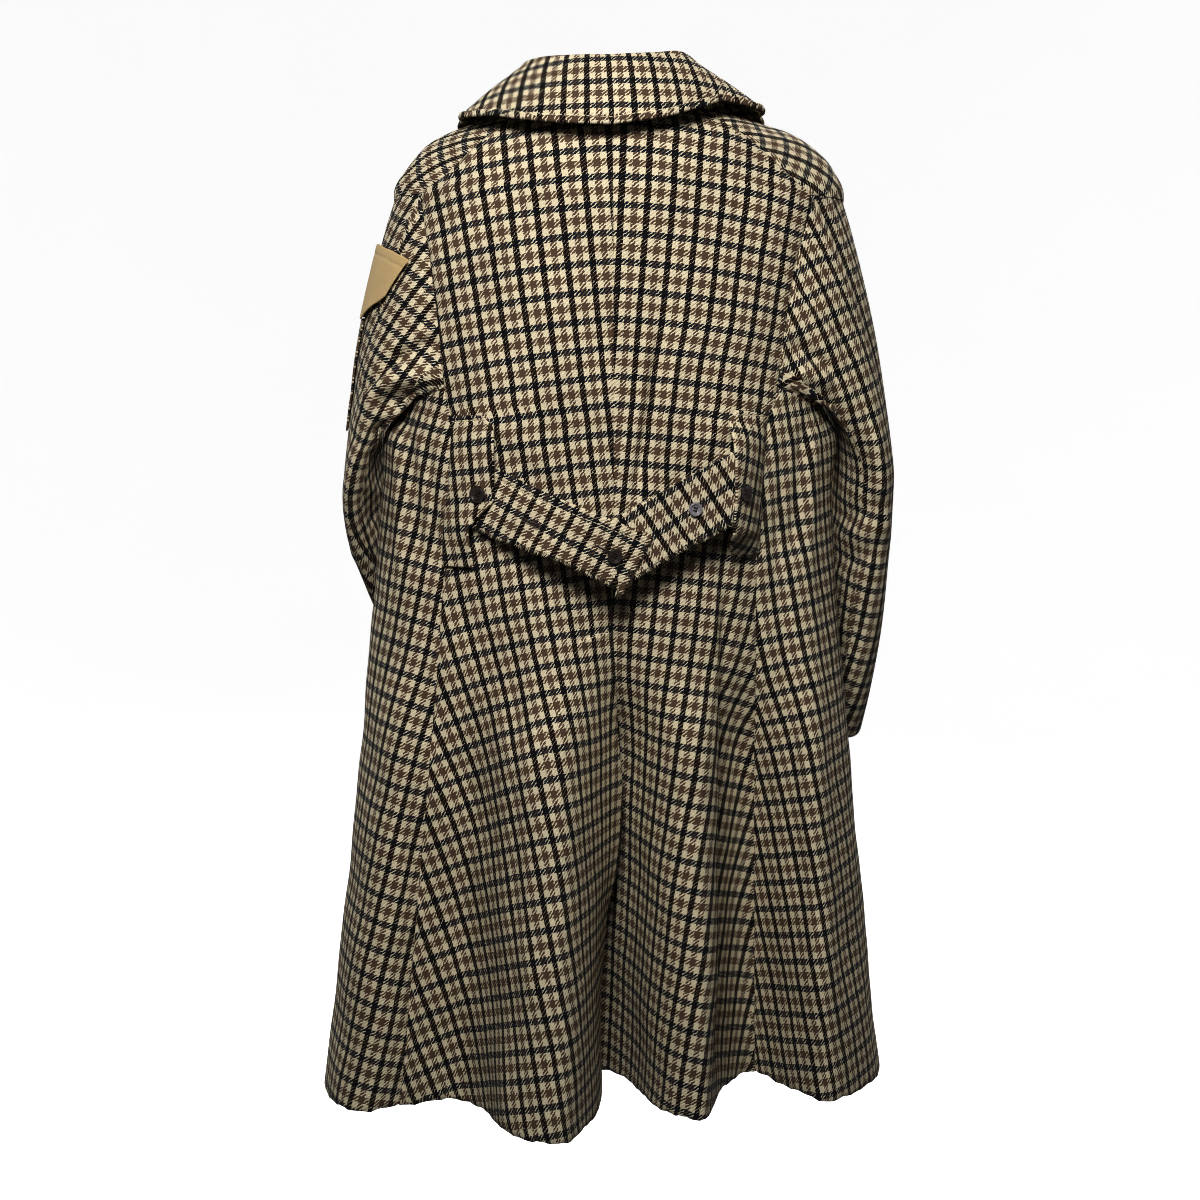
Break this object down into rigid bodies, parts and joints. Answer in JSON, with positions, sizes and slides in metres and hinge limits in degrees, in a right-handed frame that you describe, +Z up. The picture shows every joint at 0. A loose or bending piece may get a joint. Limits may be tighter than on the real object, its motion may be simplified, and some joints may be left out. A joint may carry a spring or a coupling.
{
  "type": "double-breasted coat",
  "caption": "Checked wool double-breasted coat, hung hollow, with a turned-down collar, lapels, back vent, back tabs and a loose buttoned half belt.",
  "frame": {"origin": "in the middle of the neck hollow, where the coat is held up", "axes": "+Z up along the coat's length, the back faces -Y, the front faces +Y, +X to the right when the back is seen"},
  "size_m": [0.6078, 0.4747, 1.067],
  "materials": {
    "wool": "gun-club check twill in cream, brown, dark brown and slate, soft and slightly fuzzy",
    "tan_twill": "plain tan cotton twill, matt",
    "dark_button": "dark brown horn look, satin gloss",
    "lilac_button": "lilac grey, glossy"
  },
  "bodies": {
    "root": {"back_left": "wool", "back_right": "wool", "side_left": "wool", "side_right": "wool", "front_left": "wool", "front_right": "wool", "lapel_left": "wool", "lapel_right": "wool", "collar": "wool", "sleeve_left_top": "wool", "sleeve_left_under": "wool", "sleeve_right_top": "wool", "sleeve_right_under": "wool", "tab_left": "wool", "tab_right": "wool", "belt_left": "wool", "belt_right": "wool", "sleeve_patch": "wool", "sleeve_flap": "tan_twill", "button_tab_left": "dark_button", "button_tab_right": "dark_button", "button_belt_left": "dark_button", "button_belt_right": "lilac_button", "button_front_1": "dark_button", "button_front_2": "dark_button", "button_front_3": "dark_button", "button_front_4": "dark_button", "button_front_5": "dark_button", "button_front_6": "dark_button"}
  },
  "joints": []
}
